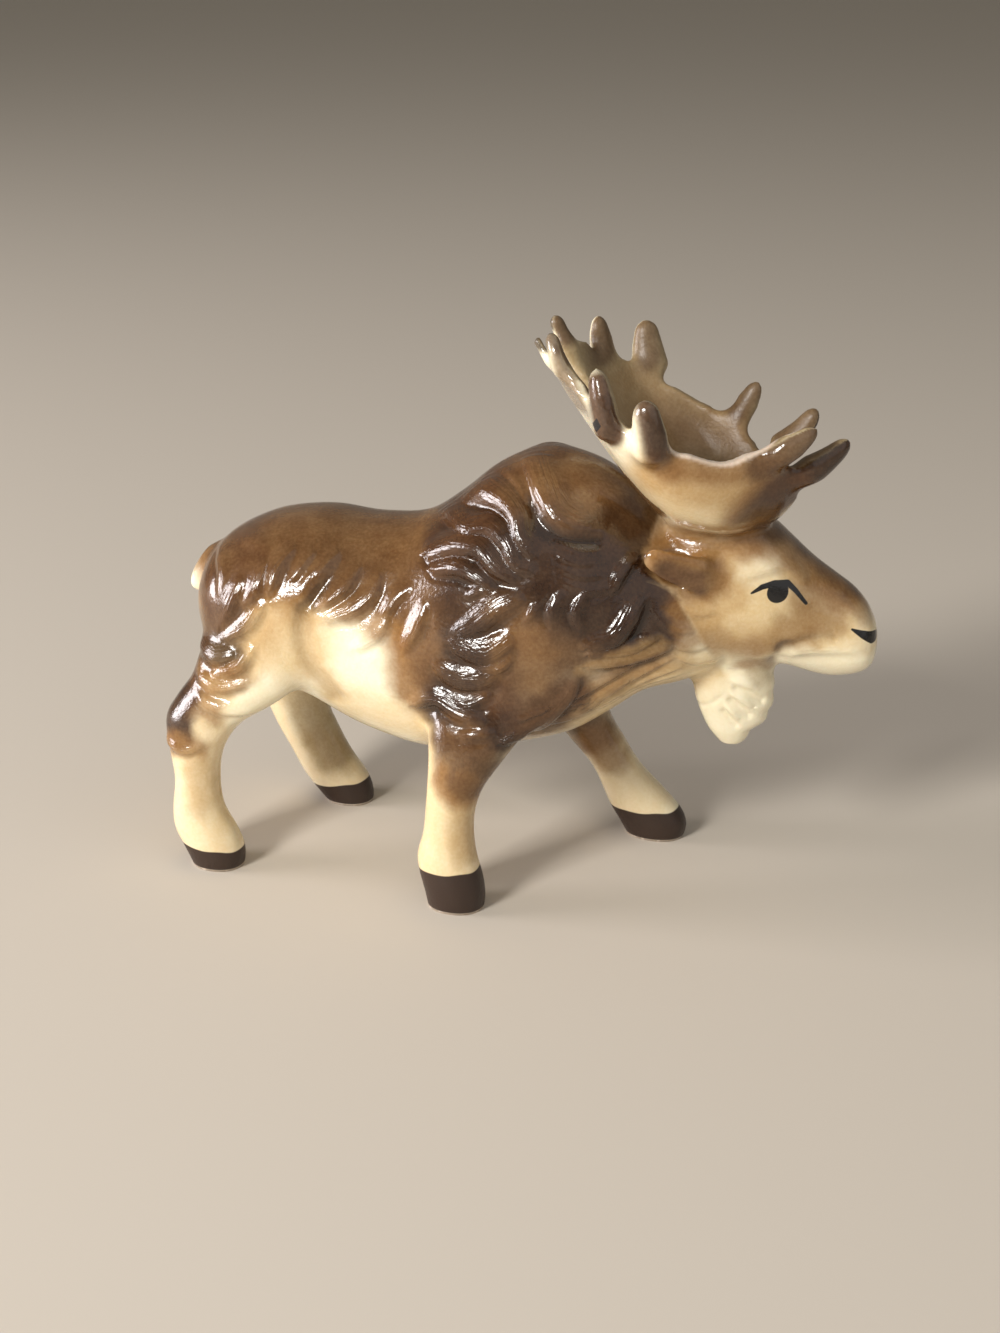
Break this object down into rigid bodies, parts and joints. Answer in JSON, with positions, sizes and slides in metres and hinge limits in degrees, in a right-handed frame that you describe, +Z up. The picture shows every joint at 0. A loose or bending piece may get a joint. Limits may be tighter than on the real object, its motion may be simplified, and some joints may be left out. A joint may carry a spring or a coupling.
{
  "type": "animal figurine",
  "caption": "Glazed bone china figurine of a striding moose with cupped palmate antlers, a bell under the throat and carved locks of hair, standing on its hooves.",
  "frame": {"origin": "on the ground, in the middle of the figure's bounding box as seen from above", "axes": "+X is the way the moose walks, +Y its left side, +Z up"},
  "size_m": [0.095, 0.038, 0.0771],
  "materials": {
    "glazed_bone_china": "glossy clear glaze over ivory bone china, airbrushed in browns, dark chocolate hooves"
  },
  "bodies": {
    "root": {"moose_figurine": "glazed_bone_china"}
  },
  "joints": []
}
